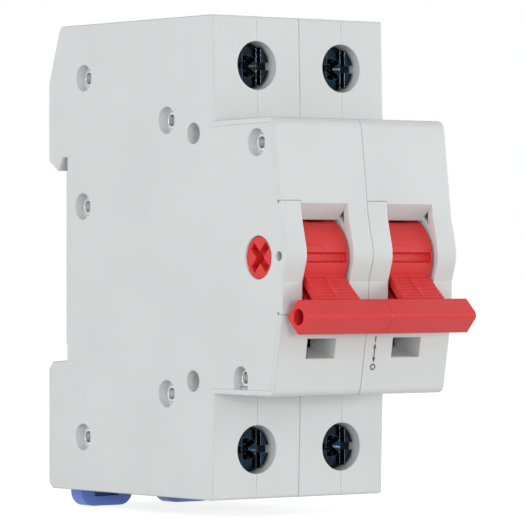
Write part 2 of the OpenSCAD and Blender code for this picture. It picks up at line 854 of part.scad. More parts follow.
module fixed_points() {
    color(silver) for (z = [-point_z, point_z])
        y_rod(point_d, strip_front_y - point_t, strip_front_y, [0, case_rise + z]);
}

// Cage that the screw pulls forwards to clamp the conductor against the strip
module terminal_cage(end) {
    front = cage_nut_back_y - cage_nut;
    color(zinc) at_terminal(end) difference() {
        span([-cage_w / 2, front, -cage_l / 2], [cage_w / 2, cage_back_in_y + cage_wall, cage_l / 2]);
        span([-cage_w / 2 + cage_wall, cage_nut_back_y, -cage_l],
             [cage_w / 2 - cage_wall, cage_back_in_y, cage_l]);
        y_rod(shank_d + 2 * touch, front - cut, cage_nut_back_y + cut, [0, 0]);
    }
}

// Everything round the two raised ears of a screw head, which the slot lies between
module ear_cut_2d() {
    difference() {
        circle(r = head_d);
        difference() {
            square([3 * head_d, 2 * ear_half_w], center = true);
            square([2 * ear_in, 3 * head_d], center = true);
            square([3 * head_d, slot_w], center = true);
        }
    }
}

// Cuts a flat shape in (X, Z) into a screw head, to a depth below its front
module head_cut(deep) {
    translate([0, head_top_y + deep, 0]) rotate([90, 0, 0]) linear_extrude(deep + cut) children();
}

module terminal_screw(end) {
    cup_r = ear_in - hair;
    color(black) at_terminal(end) difference() {
        union() {
            translate([0, head_top_y, 0]) rotate([-90, 0, 0]) rotate_extrude() polygon([
                [0, 0], [head_d / 2 - screw_edge, 0], [head_d / 2, screw_edge],
                [head_d / 2, head_h], [0, head_h]
            ]);
            y_rod(shank_d, head_low_y - cut, screw_tip_y - screw_point, [0, 0]);
            translate([0, screw_tip_y - screw_point, 0]) rotate([-90, 0, 0])
                cylinder(d1 = shank_d, d2 = shank_d - 2 * screw_point, h = screw_point);
        }
        head_cut(ear_h) ear_cut_2d();
        translate([0, head_top_y, 0]) rotate([-90, 0, 0]) rotate_extrude()
            polygon([[0, -cut], [cup_r, -cut], [cup_r, ear_h], [dish_r, dish_deep], [0, dish_deep]]);
        head_cut(recess_deep) rotate(45) cross_2d(recess_w, recess_l);
    }
}

module rail_clip() {
    color(blue) difference() {
        union() {
            translate([0, tab_back_y, 0]) rotate([90, 0, 0]) linear_extrude(clip_t) clip_2d(clip_top_z);
            translate([0, tab_back_y, 0]) rotate([90, 0, 0]) linear_extrude(tab_t) clip_2d(tab_top_z);
        }
        // Lead-in bevel of the lip behind the rail
        translate([0, clip_front_y, clip_top_z]) rotate([45, 0, 0])
            cube([2 * clip_w, clip_bevel, clip_bevel], center = true);
        // Slot that holds the spring
        span([-clip_slot_w / 2, tab_front_y - cut, nub_z - play],
             [clip_slot_w / 2, tab_back_y + cut, clip_slot_top_z]);
        // Screwdriver slot in the pull tab
        span([-pry_w / 2, tab_front_y - cut, pry_low_z], [pry_w / 2, tab_back_y + cut, pry_high_z]);
    }
}

// Face of the clip in (X, Z), from the rounded tab up to a height
module clip_2d(high) {
    polygon(rounded([
        [-clip_w / 2, high, 0], [clip_w / 2, high, 0],
        [clip_w / 2, tab_z, tab_corner], [-clip_w / 2, tab_z, tab_corner]
    ]));
}

module clip_spring() {
    color(steel) translate([0, clip_front_y + clip_t / 2, nub_z + nub_h + touch])
        coil(clip_wire, clip_spring_r, clip_slot_top_z - nub_z - nub_h - 2 * touch, 8);
}

// Rivets through both poles, with a rolled and hollow head at each end
module rivets() {
    end_x = pole_w - sink_deep;
    color(silver) for (p = rivet_spots) {
        yz = [p[0], case_rise + p[1]];
        difference() {
            union() {
                x_rod(rivet_d, -end_x, end_x, yz);
                for (side = [-1, 1]) translate([side * end_x, yz[0], yz[1]]) rotate([0, side * 90, 0])
                    cylinder(d1 = rivet_head_d, d2 = rivet_head_d - 2 * rivet_head_lean, h = rivet_head_h);
            }
            for (side = [-1, 1]) translate([side * end_x, yz[0], yz[1]]) rotate([0, side * 90, 0])
                translate([0, 0, -rivet_hollow_deep])
                    cylinder(d1 = rivet_d - 2 * rivet_hollow_wall, d2 = rivet_head_d - 2 * rivet_hollow_wall,
                             h = rivet_hollow_deep + rivet_head_h + hair);
        }
    }
}

in_pole(-1) case_left();  // case_left_a
in_pole(-1) case_right();  // case_right_a
in_pole(1) case_left();  // case_left_b
in_pole(1) case_right();  // case_right_b
in_pole(-1) toggle(-half_w + bar_end_gap, half_w - bar_joint);  // toggle_a
in_pole(1) toggle(-half_w + bar_joint, half_w - bar_end_gap);  // toggle_b
tie_pin();
coupling_key();
in_pole(-1) contact_carrier();  // contact_carrier_a
in_pole(1) contact_carrier();  // contact_carrier_b
in_pole(-1) contact_bridge();  // contact_bridge_a
in_pole(1) contact_bridge();  // contact_bridge_b
in_pole(-1) moving_points();  // moving_points_a
in_pole(1) moving_points();  // moving_points_b
in_pole(-1) contact_spring();  // contact_spring_a
in_pole(1) contact_spring();  // contact_spring_b
in_pole(-1) return_spring();  // return_spring_a
in_pole(1) return_spring();  // return_spring_b
in_pole(-1) contact_strip(1);  // contact_strip_top_a
in_pole(-1) contact_strip(-1);  // contact_strip_bottom_a
in_pole(1) contact_strip(1);  // contact_strip_top_b
in_pole(1) contact_strip(-1);  // contact_strip_bottom_b
in_pole(-1) fixed_points();  // fixed_points_a
in_pole(1) fixed_points();  // fixed_points_b
in_pole(-1) terminal_cage(1);  // terminal_cage_top_a
in_pole(-1) terminal_cage(-1);  // terminal_cage_bottom_a
in_pole(1) terminal_cage(1);  // terminal_cage_top_b
in_pole(1) terminal_cage(-1);  // terminal_cage_bottom_b
in_pole(-1) terminal_screw(1);  // terminal_screw_top_a
in_pole(-1) terminal_screw(-1);  // terminal_screw_bottom_a
in_pole(1) terminal_screw(1);  // terminal_screw_top_b
in_pole(1) terminal_screw(-1);  // terminal_screw_bottom_b
in_pole(-1) rail_clip();  // rail_clip_a
in_pole(1) rail_clip();  // rail_clip_b
in_pole(-1) clip_spring();  // clip_spring_a
in_pole(1) clip_spring();  // clip_spring_b
rivets();
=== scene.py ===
"""Two-pole DIN-rail switch disconnector: finishes, fine details and the photograph's view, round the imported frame."""

import json
import logging
import math
from dataclasses import dataclass, field
from enum import Enum

import bmesh
import bpy
from mathutils import Matrix, Vector


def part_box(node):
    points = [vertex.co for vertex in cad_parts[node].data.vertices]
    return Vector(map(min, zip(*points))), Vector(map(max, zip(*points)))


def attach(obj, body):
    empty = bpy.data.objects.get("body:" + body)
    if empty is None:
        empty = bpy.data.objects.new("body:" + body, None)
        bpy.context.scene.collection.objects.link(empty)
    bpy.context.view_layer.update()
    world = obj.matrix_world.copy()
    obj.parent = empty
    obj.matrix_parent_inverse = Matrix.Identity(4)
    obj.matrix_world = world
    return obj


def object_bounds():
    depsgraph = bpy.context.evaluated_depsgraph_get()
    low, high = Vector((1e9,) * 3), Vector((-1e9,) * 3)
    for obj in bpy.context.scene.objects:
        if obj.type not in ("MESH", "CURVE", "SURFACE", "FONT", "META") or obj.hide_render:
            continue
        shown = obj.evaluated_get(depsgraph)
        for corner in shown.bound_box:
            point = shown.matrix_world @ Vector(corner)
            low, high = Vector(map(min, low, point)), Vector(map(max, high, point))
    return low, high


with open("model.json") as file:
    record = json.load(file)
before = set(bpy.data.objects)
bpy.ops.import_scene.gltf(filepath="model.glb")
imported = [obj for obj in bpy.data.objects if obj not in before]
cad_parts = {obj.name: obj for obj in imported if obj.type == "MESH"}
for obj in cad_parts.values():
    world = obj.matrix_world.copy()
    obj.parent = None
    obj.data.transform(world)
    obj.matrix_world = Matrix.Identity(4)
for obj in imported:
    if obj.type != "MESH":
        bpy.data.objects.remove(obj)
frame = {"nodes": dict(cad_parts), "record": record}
CAD_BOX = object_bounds()

MM = 0.001
LOG = logging.getLogger("switch_disconnector")
Colour = tuple[float, float, float]
Point = tuple[float, float, float]


class Slot(Enum):
    """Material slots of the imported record, one for each finish of the real switch."""

    HOUSING = "housing_plastic"
    TOGGLE = "toggle_plastic"
    KEY = "key_plastic"
    CARRIER = "carrier_plastic"
    CLIP = "clip_plastic"
    COPPER = "contact_copper"
    SILVER = "contact_silver"
    CAGE = "cage_steel"
    SCREW = "screw_steel"
    SPRING = "spring_steel"
    RIVET = "rivet_steel"


@dataclass(frozen=True)
class Moulding:
    """Finish of a moulded plastic: its colour, gloss, the grain of its mould and a painted highlight along its edges.
    """

    name: str
    colour: Colour
    roughness: float
    grain_size: float = 5200.0
    grain_height: float = 0.006
    edge_radius: float = 0.22
    painted_edge_highlight: float = 0.1
    flow: float = 0.035
    ior: float = 1.5
    coat: float = 0.0
    subsurface: float = 0.0


@dataclass(frozen=True)
class Plating:
    """Finish of a metal: its colour, polish, marks and a painted highlight along its edges."""

    name: str
    colour: Colour
    roughness: float
    second_colour: Colour
    edge_radius: float = 0.12
    painted_edge_highlight: float = 0.3
    mark_size: float = 900.0
    mark_height: float = 0.02


# Each painted_edge_highlight value paints a lighter copy of the colour along the part's edges, a painted highlight.
MOULDINGS: dict[Slot, Moulding] = {
    Slot.HOUSING: Moulding("housing moulding", (0.606, 0.632, 0.628), 0.42),
    Slot.TOGGLE: Moulding("toggle moulding", (0.62, 0.024, 0.025), 0.42, grain_height=0.003, painted_edge_highlight=0.35, flow=0.06, ior=1.46),
    Slot.KEY: Moulding("key moulding", (0.03, 0.03, 0.033), 0.5),
    Slot.CARRIER: Moulding("carrier moulding", (0.56, 0.5, 0.38), 0.55, grain_height=0.012),
    Slot.CLIP: Moulding("clip moulding", (0.126, 0.222, 0.64), 0.38, grain_height=0.004, painted_edge_highlight=0.25),
}
# Each painted_edge_highlight value lightens the colour along the metal's edges by four times the value, a painted
# highlight.
PLATINGS: dict[Slot, Plating] = {
    Slot.COPPER: Plating("rolled copper", (0.72, 0.36, 0.2), 0.3, (0.58, 0.27, 0.15)),
    Slot.SILVER: Plating("contact silver", (0.86, 0.85, 0.83), 0.28, (0.7, 0.69, 0.67)),
    Slot.CAGE: Plating("zinc plated cage", (0.6, 0.62, 0.65), 0.34, (0.47, 0.49, 0.53)),
    # The screw's bluish second colour is a painted reflection of bluish surroundings, and its large edge value paints
    # white glints along its edges.
    Slot.SCREW: Plating("black zinc screw", (0.014, 0.018, 0.02), 0.17, (0.012, 0.028, 0.052), painted_edge_highlight=3.0),
    Slot.SPRING: Plating("drawn spring wire", (0.62, 0.62, 0.63), 0.26, (0.5, 0.5, 0.52)),
    Slot.RIVET: Plating("nickel rivet", (0.84, 0.85, 0.86), 0.28, (0.72, 0.73, 0.74)),
}


class NodeGroups:
    """The shader groups that several finishes share, each built once."""

    def __init__(self) -> None:
        """Builds the groups."""
        self.grain = self._make_grain()
        self.edge = self._make_edge()
        self.tint = self._make_tint()

    @staticmethod
    def _group(name: str, inputs: list[tuple[str, str, float]], outputs: list[tuple[str, str]]) -> bpy.types.NodeTree:
        """Makes an empty group with named sockets.

        Args:
            name: The group's name.
            inputs: Each input's name, socket type and default, where a float has one.
            outputs: Each output's name and socket type.

        Returns:
            The node tree, with its input and output nodes in place.
        """
        tree = bpy.data.node_groups.new(name, "ShaderNodeTree")
        for label, kind, value in inputs:
            socket = tree.interface.new_socket(label, in_out="INPUT", socket_type=kind)
            if kind == "NodeSocketFloat":
                socket.default_value = value
        for label, kind in outputs:
            tree.interface.new_socket(label, in_out="OUTPUT", socket_type=kind)
        tree.nodes.new("NodeGroupInput").name = "in"
        tree.nodes.new("NodeGroupOutput").name = "out"
        return tree

    @staticmethod
    def _noise(tree: bpy.types.NodeTree, scale: float, detail: float) -> bpy.types.Node:
        """Adds a noise texture on Object coordinates.

        Args:
            tree: The tree that gets it.
            scale: Its scale, in cells per metre.
            detail: Its detail.

        Returns:
            The noise node.
        """
        place = tree.nodes.new("ShaderNodeTexCoord")
        noise = tree.nodes.new("ShaderNodeTexNoise")
        noise.inputs["Scale"].default_value = scale
        noise.inputs["Detail"].default_value = detail
        tree.links.new(place.outputs["Object"], noise.inputs["Vector"])
        return noise

    def _make_grain(self) -> bpy.types.NodeTree:
        """Fine grain of a mould or a plated sheet, as a height and a roughness."""
        tree = self._group(
            "surface_grain",
            [("Size", "NodeSocketFloat", 5000.0), ("Roughness", "NodeSocketFloat", 0.4), ("Spread", "NodeSocketFloat", 0.06)],
            [("Height", "NodeSocketFloat"), ("Roughness", "NodeSocketFloat")],
        )
        fine = self._noise(tree, 5000.0, 3.0)
        broad = self._noise(tree, 140.0, 2.0)
        tree.links.new(tree.nodes["in"].outputs["Size"], fine.inputs["Scale"])
        spread = tree.nodes.new("ShaderNodeMapRange")
        spread.inputs["From Min"].default_value = 0.3
        spread.inputs["From Max"].default_value = 0.7
        low = tree.nodes.new("ShaderNodeMath")
        low.operation = "SUBTRACT"
        high = tree.nodes.new("ShaderNodeMath")
        high.operation = "ADD"
        for node in (low, high):
            tree.links.new(tree.nodes["in"].outputs["Roughness"], node.inputs[0])
            tree.links.new(tree.nodes["in"].outputs["Spread"], node.inputs[1])
        tree.links.new(broad.outputs["Fac"], spread.inputs["Value"])
        tree.links.new(low.outputs[0], spread.inputs["To Min"])
        tree.links.new(high.outputs[0], spread.inputs["To Max"])
        tree.links.new(fine.outputs["Fac"], tree.nodes["out"].inputs["Height"])
        tree.links.new(spread.outputs["Result"], tree.nodes["out"].inputs["Roughness"])
        return tree

    def _make_edge(self) -> bpy.types.NodeTree:
        """Mask of the edges, from how far a rounded normal turns away from the true one; it places the painted edge
        highlight.
        """
        tree = self._group("edge_mask", [("Rounded", "NodeSocketVector", 0.0), ("Gain", "NodeSocketFloat", 6.0)], [("Mask", "NodeSocketFloat")])
        true = tree.nodes.new("ShaderNodeNewGeometry")
        dot = tree.nodes.new("ShaderNodeVectorMath")
        dot.operation = "DOT_PRODUCT"
        away = tree.nodes.new("ShaderNodeMath")
        away.operation = "SUBTRACT"
        away.inputs[0].default_value = 1.0
        gain = tree.nodes.new("ShaderNodeMath")
        gain.operation = "MULTIPLY"
        gain.use_clamp = True
        tree.links.new(tree.nodes["in"].outputs["Rounded"], dot.inputs[0])
        tree.links.new(true.outputs["True Normal"], dot.inputs[1])
        tree.links.new(dot.outputs["Value"], away.inputs[1])
        tree.links.new(away.outputs[0], gain.inputs[0])
        tree.links.new(tree.nodes["in"].outputs["Gain"], gain.inputs[1])
        tree.links.new(gain.outputs[0], tree.nodes["out"].inputs["Mask"])
        return tree

    def _make_tint(self) -> bpy.types.NodeTree:
        """Slow variation between two colours, with a painted highlight along the edges."""
        tree = self._group(
            "colour_drift",
            [
                ("Colour", "NodeSocketColor", 0.0),
                ("Second", "NodeSocketColor", 0.0),
                ("Edge Colour", "NodeSocketColor", 0.0),
                ("Edge", "NodeSocketFloat", 0.0),
                ("Size", "NodeSocketFloat", 60.0),
            ],
            [("Colour", "NodeSocketColor")],
        )
        drift = self._noise(tree, 60.0, 3.0)
        tree.links.new(tree.nodes["in"].outputs["Size"], drift.inputs["Scale"])
        spread = tree.nodes.new("ShaderNodeMapRange")
        spread.inputs["From Min"].default_value = 0.35
        spread.inputs["From Max"].default_value = 0.65
        tree.links.new(drift.outputs["Fac"], spread.inputs["Value"])
        body = tree.nodes.new("ShaderNodeMix")
        body.data_type = "RGBA"
        edge = tree.nodes.new("ShaderNodeMix")
        edge.data_type = "RGBA"
        source = tree.nodes["in"].outputs
        tree.links.new(spread.outputs["Result"], body.inputs["Factor"])
        tree.links.new(source["Colour"], body.inputs["A"])
        tree.links.new(source["Second"], body.inputs["B"])
        tree.links.new(source["Edge"], edge.inputs["Factor"])
        tree.links.new(body.outputs["Result"], edge.inputs["A"])
        tree.links.new(source["Edge Colour"], edge.inputs["B"])
        tree.links.new(edge.outputs["Result"], tree.nodes["out"].inputs["Colour"])
        return tree


class FinishShop:
    """Makes the materials and keeps one for each slot."""

    def __init__(self) -> None:
        """Builds the shared groups and every finish."""
        self.groups = NodeGroups()
        self.made: dict[Slot, bpy.types.Material] = {}
        for slot, moulding in MOULDINGS.items():
            self.made[slot] = self._plastic(moulding)
        for slot, plating in PLATINGS.items():
            self.made[slot] = self._metal(plating)

    @staticmethod
    def _scaled(colour: Colour, factor: float) -> tuple[float, float, float, float]:
        """Returns the colour times a factor, with its alpha."""
        return (*[min(1.0, c * factor) for c in colour], 1.0)

    def _start(self, name: str) -> tuple[bpy.types.Material, bpy.types.NodeTree, bpy.types.Node]:
        """Makes a material with a bare Principled shader.

        Args:
            name: The material's name.

        Returns:
            The material, its tree and its shader.
        """
        material = bpy.data.materials.new(name)
        material.use_nodes = True
        tree = material.node_tree
        return material, tree, tree.nodes["Principled BSDF"]

    def _use(self, tree: bpy.types.NodeTree, group: bpy.types.NodeTree, **values: object) -> bpy.types.Node:
        """Places a shared group in a material.

        Args:
            tree: The material's tree.
            group: The shared group.
            values: Its inputs' values, with underscores for spaces.

        Returns:
            The group's node.
        """
        node = tree.nodes.new("ShaderNodeGroup")
        node.node_tree = group
        for label, value in values.items():
            node.inputs[label.replace("_", " ")].default_value = value
        return node

    def _dress(self, tree: bpy.types.NodeTree, shader: bpy.types.Node, grain: bpy.types.Node, height: float, radius: float) -> bpy.types.Node:
        """Joins the grain, the rounded edges and the shader.

        Args:
            tree: The material's tree.
            shader: The Principled shader.
            grain: The placed grain group.
            height: Height of the grain, in millimetres.
            radius: Radius that the edges look rounded by, in millimetres.

        Returns:
            The node that holds the edge mask, which places the painted edge highlight.
        """
        rounded = tree.nodes.new("ShaderNodeBevel")
        rounded.samples = 4
        rounded.inputs["Radius"].default_value = radius * MM
        bump = tree.nodes.new("ShaderNodeBump")
        bump.inputs["Distance"].default_value = height * MM
        bump.inputs["Strength"].default_value = 1.0
        tree.links.new(grain.outputs["Height"], bump.inputs["Height"])
        tree.links.new(rounded.outputs["Normal"], bump.inputs["Normal"])
        tree.links.new(bump.outputs["Normal"], shader.inputs["Normal"])
        tree.links.new(grain.outputs["Roughness"], shader.inputs["Roughness"])
        edge = self._use(tree, self.groups.edge, Gain=6.0)
        tree.links.new(rounded.outputs["Normal"], edge.inputs["Rounded"])
        return edge

    def _plastic(self, finish: Moulding) -> bpy.types.Material:
        """Makes a moulded plastic.

        Args:
            finish: What it looks like.

        Returns:
            The material.
        """
        material, tree, shader = self._start(finish.name)
        grain = self._use(tree, self.groups.grain, Size=finish.grain_size, Roughness=finish.roughness, Spread=0.05)
        edge = self._dress(tree, shader, grain, finish.grain_height, finish.edge_radius)
        # The edges get a lighter copy of the colour here, a painted highlight.
        scale = self._use(
            tree,
            self.groups.tint,
            Colour=self._scaled(finish.colour, 1.0 + finish.flow / 2),
            Second=self._scaled(finish.colour, 1.0 - finish.flow / 2),
            Edge_Colour=self._scaled(finish.colour, 1.0 + finish.painted_edge_highlight),
            Size=75.0,
        )
        tree.links.new(edge.outputs["Mask"], scale.inputs["Edge"])
        tree.links.new(scale.outputs["Colour"], shader.inputs["Base Color"])
        shader.inputs["IOR"].default_value = finish.ior
        shader.inputs["Coat Weight"].default_value = finish.coat
        return material

    def ink(self) -> bpy.types.Material:
        """Makes the dark printing ink, a little uneven in tone."""
        return self._plastic(Moulding("printing ink", (0.055, 0.055, 0.06), 0.6, edge_radius=0.01, painted_edge_highlight=0.0, flow=0.3))

    def _metal(self, finish: Plating) -> bpy.types.Material:
        """Makes a plated or rolled metal.

        Args:
            finish: What it looks like.

        Returns:
            The material.
        """
        material, tree, shader = self._start(finish.name)
        grain = self._use(tree, self.groups.grain, Size=finish.mark_size, Roughness=finish.roughness, Spread=0.08)
        edge = self._dress(tree, shader, grain, finish.mark_height, finish.edge_radius)
        # The edges get a lighter copy of the colour here, a painted highlight.
        scale = self._use(
            tree,
            self.groups.tint,
            Colour=(*finish.colour, 1.0),
            Second=(*finish.second_colour, 1.0),
            Edge_Colour=self._scaled(finish.colour, 1.0 + 4.0 * finish.painted_edge_highlight),
            Size=420.0,
        )
        tree.links.new(edge.outputs["Mask"], scale.inputs["Edge"])
        tree.links.new(scale.outputs["Colour"], shader.inputs["Base Color"])
        shader.inputs["Metallic"].default_value = 1.0
        return material


@dataclass
class Studio:
    """The photograph's camera, a pale floor and soft light."""

    lens: float = 270.47
    position: Point = (-0.40812, -0.57083, -0.00042)
    look: Point = (0.60459, 0.79654, -0.0004)
    roll: float = 0.006
    floor_drop: float = 0.00002
    floor_glow: float = 1.6
    world_strength: float = 0.4
    lamps: list[tuple[str, Point, float, float]] = field(
        default_factory=lambda: [
            ("left_softbox", (-1.1, -0.25, 0.3), 0.8, 7.0),
            ("low_softbox", (-0.35, -1.0, 0.0), 0.3, 4.6),
            ("right_softbox", (1.1, -0.4, 0.1), 0.5, 9.2),
        ]
    )

    def make_camera(self) -> None:
        """Places the camera where the photograph was taken from."""
        data = bpy.data.cameras.new("photo_camera")
        data.lens = self.lens
        data.sensor_width = 36.0
        data.clip_start = 0.01
        data.clip_end = 50.0
        camera = bpy.data.objects.new("photo_camera", data)
        camera.location = self.position
        turn = Vector(self.look).to_track_quat("-Z", "Y").to_matrix() @ Matrix.Rotation(math.radians(self.roll), 3, "Z")
        camera.rotation_euler = turn.to_euler()
        bpy.context.collection.objects.link(camera)
        bpy.context.scene.camera = camera

    def make_room(self) -> None:
        """Makes the floor, the white surroundings and the lamps."""
        mesh = bpy.data.meshes.new("pale_floor")
        shape = bmesh.new()
        bmesh.ops.create_grid(shape, x_segments=1, y_segments=1, size=6.0)
        bmesh.ops.translate(shape, verts=shape.verts, vec=(0.0, 0.0, CAD_BOX[0].z - self.floor_drop))
        shape.to_mesh(mesh)
        shape.free()
        floor = bpy.data.objects.new("pale_floor", mesh)
        bpy.context.collection.objects.link(floor)
        material = bpy.data.materials.new("pale floor")
        material.use_nodes = True
        tree = material.node_tree
        shader = tree.nodes["Principled BSDF"]
        shader.inputs["Base Color"].default_value = (0.92, 0.92, 0.92, 1.0)
        shader.inputs["Roughness"].default_value = 0.9
        glow = tree.nodes.new("ShaderNodeEmission")
        glow.inputs["Color"].default_value = (1.0, 1.0, 1.0, 1.0)
        glow.inputs["Strength"].default_value = self.floor_glow
        self._eye_mix(tree, shader, glow, 0.5, tree.nodes["Material Output"])
        floor.data.materials.append(material)
        world = bpy.data.worlds.new("soft_room")
        bpy.context.scene.world = world
        world.use_nodes = True
        tree = world.node_tree
        light = tree.nodes["Background"]
        light.inputs["Color"].default_value = (1.0, 1.0, 1.0, 1.0)
        light.inputs["Strength"].default_value = self.world_strength
        eye = tree.nodes.new("ShaderNodeBackground")
        eye.inputs["Color"].default_value = (1.0, 1.0, 1.0, 1.0)
        eye.inputs["Strength"].default_value = 1.0
        self._eye_mix(tree, light, eye, 1.0, tree.nodes["World Output"])
        for name, place, size, power in self.lamps:
            self._lamp(name, place, size, power)
        view = bpy.context.scene.view_settings
        view.view_transform = "Standard"

    @staticmethod
    def _eye_mix(tree: bpy.types.NodeTree, plain: bpy.types.Node, seen: bpy.types.Node, share: float, out: bpy.types.Node) -> None:
        """Shows one shader to the eye, in mirrors and through glass too, and another one to the light.

        Args:
            tree: The tree that holds both.
            plain: The shader that lights the switch.
            seen: The shader that the eye sees.
            share: How much of it the eye sees.
            out: The tree's output node.
        """
        path = tree.nodes.new("ShaderNodeLightPath")
        total = path.outputs["Is Camera Ray"]
        for label in ("Is Glossy Ray", "Is Transmission Ray"):
            add = tree.nodes.new("ShaderNodeMath")
            add.operation = "ADD"
            add.use_clamp = True
            tree.links.new(total, add.inputs[0])
            tree.links.new(path.outputs[label], add.inputs[1])
            total = add.outputs[0]
        part = tree.nodes.new("ShaderNodeMath")
        part.operation = "MULTIPLY"
        part.inputs[1].default_value = share
        mix = tree.nodes.new("ShaderNodeMixShader")
        tree.links.new(total, part.inputs[0])
        tree.links.new(part.outputs[0], mix.inputs[0])
        tree.links.new(plain.outputs[0], mix.inputs[1])
        tree.links.new(seen.outputs[0], mix.inputs[2])
        tree.links.new(mix.outputs[0], out.inputs["Surface"])

    @staticmethod
    def _lamp(name: str, place: Point, size: float, power: float) -> None:
        """Adds a soft square lamp that faces the switch.

        Args:
            name: The lamp's name.
            place: Where it stands, in metres.
            size: Its side, in metres.
            power: Its power, in watts.
        """
        data = bpy.data.lights.new(name, "AREA")
        data.size = size
        data.energy = power
        lamp = bpy.data.objects.new(name, data)
        lamp.location = place
        lamp.rotation_euler = (-Vector(place)).to_track_quat("-Z", "Y").to_euler()
        bpy.context.collection.objects.link(lamp)


@dataclass
class Switch:
    """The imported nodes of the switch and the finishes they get."""

    shop: FinishShop

    def dress(self) -> None:
        """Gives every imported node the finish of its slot."""
        slots = {part["node"]: Slot(part["material_slot"]) for part in frame["record"]["subparts"]}
        for name, node in frame["nodes"].items():
            material = self.shop.made[slots[name]]
            if not node.material_slots:
                node.data.materials.append(material)
            for place in node.material_slots:
                place.material = material
            LOG.info("%s gets %s", name, material.name)


@dataclass
class Bench:
    """Makes the scene's own pieces, in millimetres of the row frame, and hangs each on its body."""

    shop: FinishShop

    def loft(self, name: str, rings: list[list[Vector]], slot: Slot, body: str, finish: bpy.types.Material | None = None) -> bpy.types.Object:
        """Makes a closed solid through a row of rings.

        Args:
            name: The piece's name.
            rings: The rings' points, in millimetres, each ring with the same number of points.
            slot: The record's slot that the piece takes its finish from.
            body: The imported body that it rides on.
            finish: Another material, where the slot's own one doesn't suit.

        Returns:
            The piece.
        """
        shape = bmesh.new()
        ends = [shape.faces.new([shape.verts.new(point * MM) for point in rings[0]])]
        for ring in rings[1:]:
            grown = bmesh.ops.extrude_face_region(shape, geom=ends[-1:])["geom"]
            ends.append(next(item for item in grown if isinstance(item, bmesh.types.BMFace)))
            for corner, point in zip(ends[-1].verts, ring):
                corner.co = point * MM
        bmesh.ops.delete(shape, geom=ends[1:-1], context="FACES_ONLY")
        return self._hang(name, shape, slot, body, finish)

    def spin(
        self,
        name: str,
        profile: list[Vector],
        centre: Vector,
        axis: Vector,
        slot: Slot,
        body: str,
        finish: bpy.types.Material | None = None,
    ) -> bpy.types.Object:
        """Makes a closed ring by spinning a profile once round an axis.

        Args:
            name: The piece's name.
            profile: The corners of the ring's section, in millimetres.
            centre: A point of the axis, in millimetres.
            axis: The axis's direction.
            slot: The record's slot that the piece takes its finish from.
            body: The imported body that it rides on.
            finish: Another material, where the slot's own one doesn't suit.

        Returns:
            The piece.
        """
        shape = bmesh.new()
        corners = [shape.verts.new(point * MM) for point in profile]
        edges = [shape.edges.new(pair) for pair in zip(corners, corners[1:] + corners[:1])]
        bmesh.ops.spin(
            shape,
            geom=corners + edges,
            cent=centre * MM,
            axis=axis,
            angle=2.0 * math.pi,
            steps=32,
            use_merge=True,
        )
        return self._hang(name, shape, slot, body, finish)

    def _hang(self, name: str, shape: bmesh.types.BMesh, slot: Slot, body: str, finish: bpy.types.Material | None) -> bpy.types.Object:
        """Turns a finished shape into a piece and hangs it on its body."""
        bmesh.ops.recalc_face_normals(shape, faces=shape.faces)
        mesh = bpy.data.meshes.new(name)
        shape.to_mesh(mesh)
        shape.free()
        mesh.materials.append(finish or self.shop.made[slot])
        piece = bpy.data.objects.new(name, mesh)
        bpy.context.collection.objects.link(piece)
        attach(piece, body)
        LOG.info("%s made, on %s", name, body)
        return piece


@dataclass
class LeverRibs:
    """The drop-shaped rib along each thumb plate of the two levers."""

    bench: Bench
    pivot: Vector = field(default_factory=lambda: Vector((0.0, -55.7, 0.15)))
    turn: float = 43.0
    start: float = 6.75
    end: float = 11.35
    sink: float = 1.75
    height: float = 2.1
    half_width: float = 0.36

    def make(self) -> None:
        """Makes a rib on both faces of both levers."""
        along = Vector((0.0, -math.cos(math.radians(self.turn)), -math.sin(math.radians(self.turn))))
        out = Vector((0.0, -math.sin(math.radians(self.turn)), math.cos(math.radians(self.turn))))
        for pole, side in (("a", -9.0), ("b", 9.0)):
            for face, sign in (("upper", 1.0), ("lower", -1.0)):
                rings = []
                for share, width in ((0.0, 0.35), (0.05, 0.7), (0.15, 0.9), (0.45, 1.1), (0.7, 1.15), (0.88, 0.95), (0.96, 0.65), (1.0, 0.3)):
                    middle = self.pivot + along * (self.start + (self.end - self.start) * share) + Vector((side, 0.0, 0.0))
                    half = self.half_width * width
                    rise = self.height - 0.05 * share * 2.6 - (0.12 if width < 0.5 else 0.0)
                    rings.append([middle + Vector((x * half, 0.0, 0.0)) + out * sign * h for x, h in ((-1.0, self.sink), (1.0, self.sink), (0.9, rise - 0.06), (0.45, rise), (-0.45, rise), (-0.9, rise - 0.06))])
                self.bench.loft(f"lever_rib_{face}_{pole}", rings, Slot.TOGGLE, "toggle")


@dataclass
class DrumLines:
    """The mould's parting lines on the two drums."""

    bench: Bench
    pivot: Vector = field(default_factory=lambda: Vector((0.0, -55.7, 0.15)))
    radius: float = 6.8
    rise: float = 0.035
    half_width: float = 0.05

    def _spot(self, x: float, angle: float, radius: float) -> Vector:
        """Returns a point at an angle above straight out, in millimetres."""
        turn = math.radians(angle)
        return self.pivot + Vector((x, -radius * math.cos(turn), radius * math.sin(turn)))

    def make(self) -> None:
        """Makes the lines round and across each drum."""
        inner = self.radius - 0.1
        outer = self.radius + self.rise
        for pole, side in (("a", -9.0), ("b", 9.0)):
            middle = side - 0.55
            for name, low, high in (("upper", 8.2, 16.0), ("lower", -12.5, -8.2)):
                rings = []
                for i in range(13):
                    angle = low + (high - low) * i / 12
                    rings.append([self._spot(middle + x, angle, r) for x, r in ((-self.half_width, inner), (self.half_width, inner), (self.half_width, outer), (-self.half_width, outer))])
                self.bench.loft(f"drum_line_{name}_{pole}", rings, Slot.TOGGLE, "toggle")
            rings = []
            for i in range(9):
                x = side - 3.75 + (3.75 - 0.55) * i / 8
                angle = 18.3 - 2.6 * (i / 8) ** 2
                rings.append([self._spot(x, angle + a, r) for a, r in ((-0.4, inner), (0.4, inner), (0.4, outer), (-0.4, outer))])
            self.bench.loft(f"drum_line_across_{pole}", rings, Slot.TOGGLE, "toggle")


